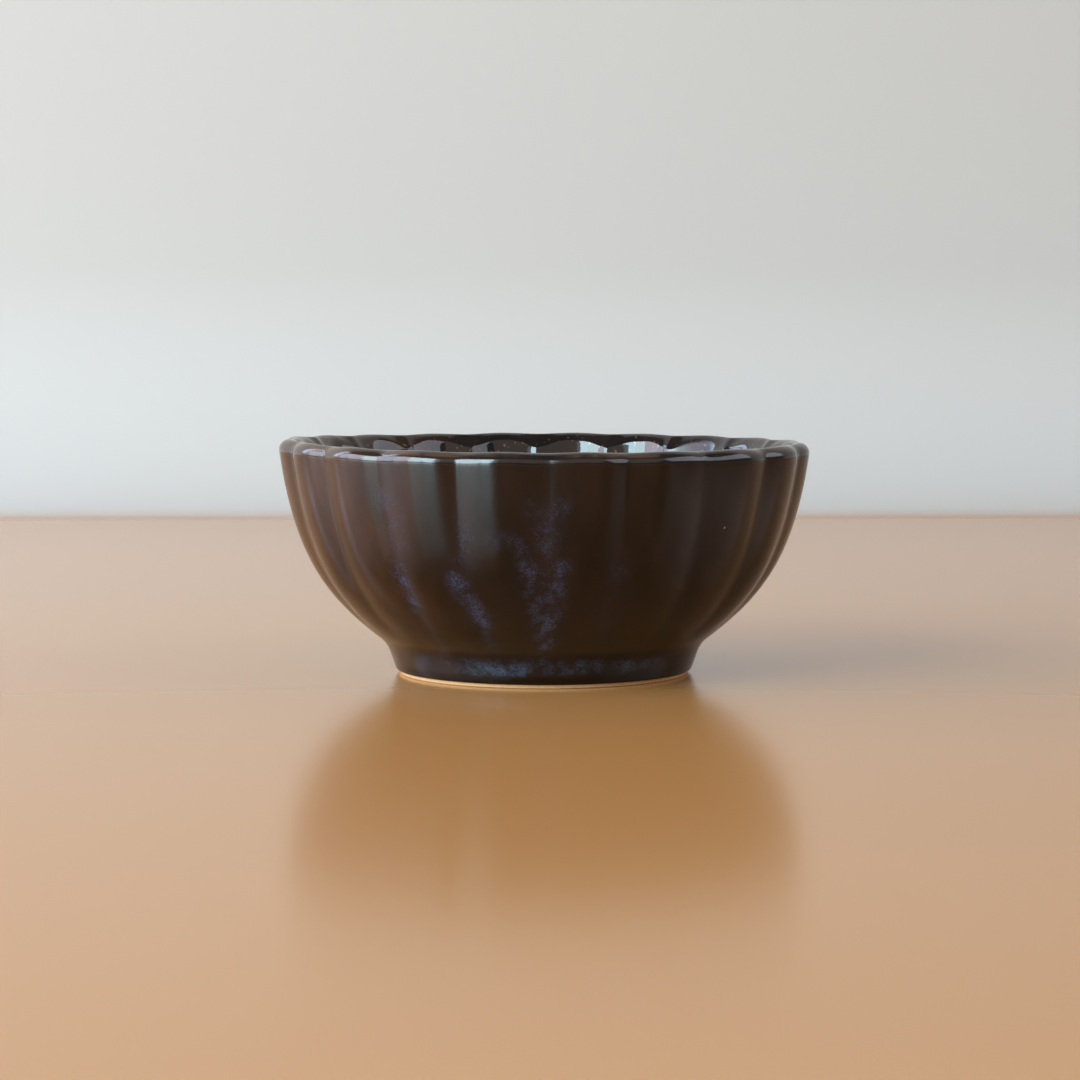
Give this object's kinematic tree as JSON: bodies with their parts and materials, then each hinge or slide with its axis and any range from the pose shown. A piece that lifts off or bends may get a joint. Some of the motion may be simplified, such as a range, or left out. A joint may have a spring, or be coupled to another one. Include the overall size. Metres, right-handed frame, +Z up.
{
  "type": "soy sauce dish",
  "caption": "Small round fluted stoneware dish on a foot ring, glazed dark brown inside and out, that holds soy sauce for dipping.",
  "frame": {"origin": "on the dish's axis, in the plane of the flat ring that it stands on", "axes": "+Z up along the dish's axis; the grooves between the flutes lie at multiples of 18 degrees from +X"},
  "size_m": [0.089, 0.089, 0.0393],
  "materials": {
    "clay_body": "fired stoneware",
    "clay_foot": "bare fired stoneware, wiped smooth",
    "satin_glaze": "satin iron-brown glaze",
    "lip_glaze": "glossy iron-brown glaze, thin over the edge",
    "gloss_glaze": "glossy iron-brown glaze",
    "pooled_glaze": "pooled glaze with blue speckle",
    "well_glaze": "glossy iron-brown glaze"
  },
  "bodies": {
    "root": {"clay_bowl": "clay_body", "foot_ring": "clay_foot", "outer_glaze": "satin_glaze", "lip_glaze": "lip_glaze", "inner_glaze": "gloss_glaze", "foot_glaze": "pooled_glaze", "well_glaze": "well_glaze"}
  },
  "joints": []
}
